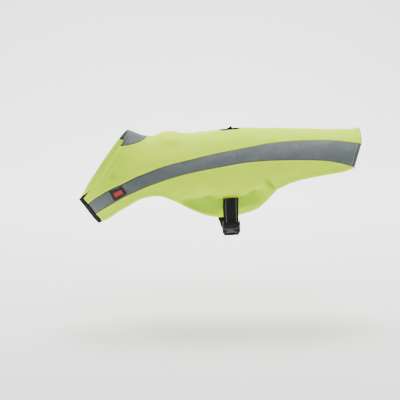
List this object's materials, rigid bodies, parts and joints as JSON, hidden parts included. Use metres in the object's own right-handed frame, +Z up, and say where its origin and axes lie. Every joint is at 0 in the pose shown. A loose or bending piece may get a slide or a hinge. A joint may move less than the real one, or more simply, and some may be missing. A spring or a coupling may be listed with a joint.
{
  "type": "dog safety vest",
  "caption": "Hollow high-visibility dog vest with reflective side strips, a lapped chest closure, a leash slit in the back and a webbing belly strap with a side-release buckle.",
  "frame": {"origin": "inner face of the back panel on its centre line, 205 mm from the neck edge, where the wearer's back holds the vest", "axes": "+X toward the tail, -X toward the neck, +Z up, the wearer's left side toward -Y"},
  "size_m": [0.4895, 0.1542, 0.1865],
  "materials": {
    "yellow_cloth": "fluorescent yellow coated weave, soft sheen",
    "reflective_cloth": "grey glass-bead reflective cloth, satin",
    "black_webbing": "ribbed woven webbing, matt, with light grey stitching",
    "black_tape": "matt closure tape and binding",
    "woven_label": "fine satin weave with a plain red bar",
    "buckle_plastic": "dark grey moulded plastic, satin"
  },
  "bodies": {
    "root": {"back_panel": "yellow_cloth", "collar_patch": "reflective_cloth", "strip_left": "reflective_cloth", "strip_right": "reflective_cloth", "side_left": "yellow_cloth", "side_right": "yellow_cloth", "chest_tape_under": "black_tape", "chest_tape_lap": "black_tape", "slit_binding": "black_tape", "label_patch": "woven_label", "strap_left": "black_webbing", "strap_right": "black_webbing", "buckle_female": "buckle_plastic", "buckle_male": "buckle_plastic"}
  },
  "joints": []
}
